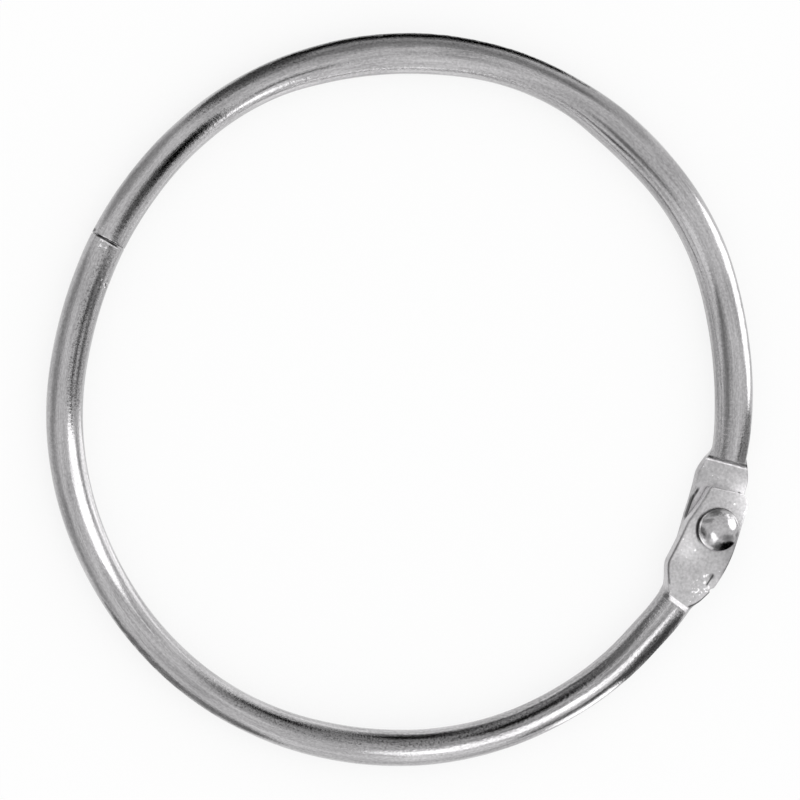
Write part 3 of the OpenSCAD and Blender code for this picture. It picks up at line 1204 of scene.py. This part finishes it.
def card(name, mirror_of, first, last, width, level, ragged, distance):
    """A card where the camera sees it mirrored, over a streak of the object. mirror_of(a, b) gives
    a place on the surface and its outward direction. The streak runs from first to last, and width
    is half its width in b."""
    long_steps, cross_steps = 24, 8
    points, borders, mapped = [], [], []
    for i in range(long_steps + 1):
        x = i / long_steps
        end = 1 - abs(2 * x - 1) ** 3
        for j in range(cross_steps + 1):
            y = 2 * j / cross_steps - 1
            a = first[0] + (last[0] - first[0]) * x
            b = first[1] + (last[1] - first[1]) * x + width * y * (0.25 + 0.75 * end)
            place, normal = mirror_of(a, b)
            ray = 2 * normal.dot(TO_CAMERA) * normal - TO_CAMERA
            points.append(place + ray * distance)
            borders.append((1 - abs(y)) * min(1, 2 * end))
            mapped.append((place.length / MM * math.radians(a), b * TUBE_R))
    faces = []
    for i in range(long_steps):
        for j in range(cross_steps):
            k = i * (cross_steps + 1) + j
            faces.append((k, k + 1, k + cross_steps + 2, k + cross_steps + 1))
    mesh = bpy.data.meshes.new(name)
    mesh.from_pydata(points, [], faces)
    mesh.attributes.new("Border", "FLOAT", "POINT").data.foreach_set("value", borders)
    layer = mesh.uv_layers.new(name=CARD_MAP)
    for loop in mesh.loops:
        layer.data[loop.index].uv = mapped[loop.vertex_index]
    place, normal = mirror_of((first[0] + last[0]) / 2, (first[1] + last[1]) / 2)
    middle = mesh.polygons[len(mesh.polygons) // 2 + cross_steps // 2]
    if middle.normal.dot(place - middle.center) < 0:
        mesh.flip_normals()
    is_grey = 0 < level < BRIGHT_LEVEL and ragged < TORN_BORDER
    soft = SOFT_BORDER if is_grey else CRISP_BORDER
    clearance = round(CLEAR_SHARE * distance, 3)
    mesh.materials.append(card_material(level, ragged, soft, clearance))
    shown = show(mesh, name)
    shown.visible_camera = False
    shown.visible_diffuse = False
    shown.visible_shadow = False


def on_tube(degrees, across):
    """Place on the tube at an angle round the ring, and across from -1 at its inside to 1 at its
    outside as seen, with its outward direction."""
    a = math.radians(degrees)
    radial = Vector((math.cos(a), math.sin(a), 0))
    along = Vector((-math.sin(a), math.cos(a), 0))
    facing = (TO_CAMERA - TO_CAMERA.dot(along) * along).normalized()
    sideways = along.cross(facing)
    if sideways.dot(radial) < 0:
        sideways = -sideways
    turn = math.asin(max(-0.999, min(0.999, across)))
    normal = math.cos(turn) * facing + math.sin(turn) * sideways
    centre = radial * RING_R * MM + Vector((0, 0, LIFT * MM))
    return centre + normal * TUBE_R * MM, normal


def on_dome(up, right):
    """Place on the rivet's dome, in millimetres up and right of its middle as seen, with its
    outward direction."""
    right_axis = CAMERA_TURN @ Vector((1, 0, 0))
    up_axis = CAMERA_TURN @ Vector((0, 1, 0))
    x = (right + (DOME_R - DOME_RISE) * right_axis.z) / DOME_R
    y = (up + (DOME_R - DOME_RISE) * up_axis.z) / DOME_R
    toward_camera = math.sqrt(max(0.01, 1 - x * x - y * y))
    normal = x * right_axis + y * up_axis + toward_camera * TO_CAMERA
    normal.normalize()
    centre = Vector((PIVOT_R, 0, rivet_hi[2] - DOME_R))
    return (centre + normal * DOME_R) * MM, normal


# A card has a soft border if it is grey and not torn, and a crisp one if it is black or bright.
BRIGHT_LEVEL = 2
TORN_BORDER = 0.7
SOFT_BORDER = 1.0
CRISP_BORDER = 0.35
# A card is clear to reflections that start nearer than this share of its distance.
CLEAR_SHARE = 0.6
# Metres from the surface to the first card. Each hangs nearer than the one before, and covers it.
TUBE_CARD_DISTANCE = 0.021
DOME_CARD_DISTANCE = 0.005
CARD_SPACING = 0.0001
# Streaks along the tube: (name, (angle, across) at one end and the other, half width across,
# brightness, raggedness).
TUBE_CARDS = [
    ("upper_white_band", (20, 0.78), (57, 0.72), 0.15, 3.0, 0.3),
    ("upper_speckle", (8, 0.76), (20.5, 0.76), 0.26, 0.45, 0.9),
    ("upper_black_thread", (9.5, 0.48), (16, 0.62), 0.07, 0.0, 0.9),
    ("upper_dark_inner", (3, -0.42), (46, -0.16), 0.3, 0.34, 0.5),
    ("upper_dark_edge", (16, -0.8), (44, -0.78), 0.12, 0.62, 0.4),
    ("upper_light_patch", (44, -0.27), (57, -0.27), 0.17, 1.35, 0.4),
    ("upper_outer_shade", (66, 0.66), (86, 0.6), 0.36, 0.72, 0.4),
    ("upper_middle_shade", (64, 0.1), (84, 0.05), 0.3, 0.8, 0.3),
    ("upper_streak_one", (56, -0.16), (82, -0.22), 0.11, 0.36, 0.8),
    ("upper_streak_two", (64, -0.4), (92, -0.64), 0.09, 0.12, 0.9),
    ("upper_thin_line", (44, -0.46), (70, -0.46), 0.03, 0.5, 0.3),
    ("upper_light_line", (42, -0.6), (130, -0.56), 0.06, 1.2, 0.3),
    ("upper_light_inner", (86, -0.38), (150, -0.22), 0.3, 1.15, 0.4),
    ("upper_light_edge", (84, -0.84), (174, -0.84), 0.14, 1.35, 0.3),
    ("upper_dark_outer", (74, 0.5), (152, 0.46), 0.33, 0.36, 0.6),
    ("upper_black_edge", (80, 0.89), (154, 0.76), 0.17, 0.0, 1.2),
    ("upper_black_patch", (128, 0.64), (152, 0.7), 0.22, 0.15, 1.4),
    ("upper_middle_line", (78, 0.0), (147, 0.02), 0.035, 0.55, 0.4),
    ("upper_middle_dark", (118, 0.17), (148, 0.2), 0.14, 0.7, 0.4),
    ("upper_small_dark", (124, -0.22), (143, -0.28), 0.08, 0.25, 1.0),
    ("upper_white_fleck", (133, -0.55), (146, -0.53), 0.09, 3.0, 0.8),
    ("upper_dark_end", (148, 0.68), (174, 0.68), 0.36, 0.5, 0.4),
    ("upper_blotch_tail", (153, -0.24), (175, -0.3), 0.31, 0.2, 1.3),
    ("upper_blotch", (146, -0.24), (162, -0.36), 0.3, 0.0, 1.4),
    ("lower_dark_outer", (174.5, 0.66), (206, 0.58), 0.28, 0.5, 0.4),
    ("lower_dark_outer_end", (198, 0.64), (238, 0.72), 0.24, 0.55, 0.4),
    ("lower_dark_start", (174.8, -0.46), (188, -0.44), 0.3, 0.34, 1.1),
    ("lower_line_one", (178, -0.28), (204, -0.32), 0.11, 0.16, 1.0),
    ("lower_line_two", (180, -0.58), (204, -0.6), 0.11, 0.25, 1.0),
    ("lower_line_three", (182, -0.07), (200, -0.08), 0.05, 0.55, 0.9),
    ("lower_white_patch", (202, -0.33), (235, -0.33), 0.25, 3.0, 0.7),
    ("lower_flecks", (201, -0.4), (206, -0.4), 0.1, 0.05, 1.2),
    ("lower_white_tail", (230, -0.33), (248, -0.3), 0.05, 1.8, 0.5),
    ("lower_thin_line", (200, -0.62), (236, -0.62), 0.04, 0.5, 0.3),
    ("lower_light_edge", (196, -0.82), (292, -0.82), 0.16, 1.4, 0.3),
    ("lower_bright_edge", (203, -0.84), (239, -0.82), 0.13, 2.1, 0.3),
    ("lower_dark_outer_two", (234, 0.84), (272, 0.8), 0.17, 0.3, 1.5),
    ("lower_middle_line", (230, 0.14), (292, 0.2), 0.06, 0.7, 0.3),
    ("lower_dark_middle", (254, -0.14), (332, -0.2), 0.26, 0.58, 0.6),
    ("lower_dark_inner", (250, -0.44), (334, -0.46), 0.27, 0.4, 0.8),
    ("lower_black_streak", (260, -0.52), (277, -0.54), 0.12, 0.0, 1.2),
    ("lower_black_streak_two", (282, -0.58), (308, -0.58), 0.14, 0.0, 1.2),
    ("lower_black_streak_three", (302, -0.22), (332, -0.38), 0.17, 0.0, 1.2),
    ("lower_grey_band", (284, 0.06), (347, 0.03), 0.12, 0.6, 0.3),
    ("lower_light_outer", (262, 0.56), (318, 0.56), 0.28, 1.25, 0.3),
    ("lower_white_band", (284, 0.28), (346, 0.3), 0.17, 2.6, 0.6),
    ("lower_middle_dark_end", (322, 0.1), (347, 0.04), 0.2, 0.62, 0.4),
    ("lower_dark_end_inner", (324, -0.42), (348, -0.5), 0.3, 0.25, 0.9),
    ("lower_white_edge", (316, 0.86), (331, 0.86), 0.09, 3.0, 1.0),
    ("lower_dark_streak", (310, 0.66), (338, 0.66), 0.09, 0.12, 1.2),
    ("lower_black_end", (329, 0.76), (346, 0.72), 0.34, 0.12, 1.2),
    ("lower_light_inner", (300, -0.8), (345, -0.78), 0.1, 1.1, 0.3),
]
# Patches on the rivet's dome: (name, (up, right) at one end and the other, half width,
# brightness, raggedness).
DOME_CARDS = [
    ("dome_white", (-0.05, 1.62), (1.8, 1.36), 0.54, 3.0, 0.2),
    ("dome_grey", (-2.3, -1.0), (-0.9, -1.3), 0.8, 0.9, 0.2),
    ("dome_dark_right", (-1.4, 2.0), (-0.1, 2.2), 0.3, 0.4, 0.5),
    ("dome_dark_wedge", (-1.4, 1.0), (-0.5, 1.0), 1.1, 0.4, 0.6),
    ("dome_black_spur", (-2.5, 0.25), (-1.35, 0.62), 0.36, 0.0, 0.1),
    ("dome_black", (-2.35, 1.0), (-1.3, 1.3), 0.86, 0.0, 0.12),
    ("dome_small_white", (-1.1, -0.6), (-0.25, -0.76), 0.32, 3.0, 0.4),
]

make_camera()
make_world()
make_floor()
for cards, surface, distance in (
    (TUBE_CARDS, on_tube, TUBE_CARD_DISTANCE),
    (DOME_CARDS, on_dome, DOME_CARD_DISTANCE),
):
    for i, (name, *streak) in enumerate(cards):
        card(name, surface, *streak, distance - i * CARD_SPACING)

bpy.context.scene.view_settings.view_transform = "Standard"
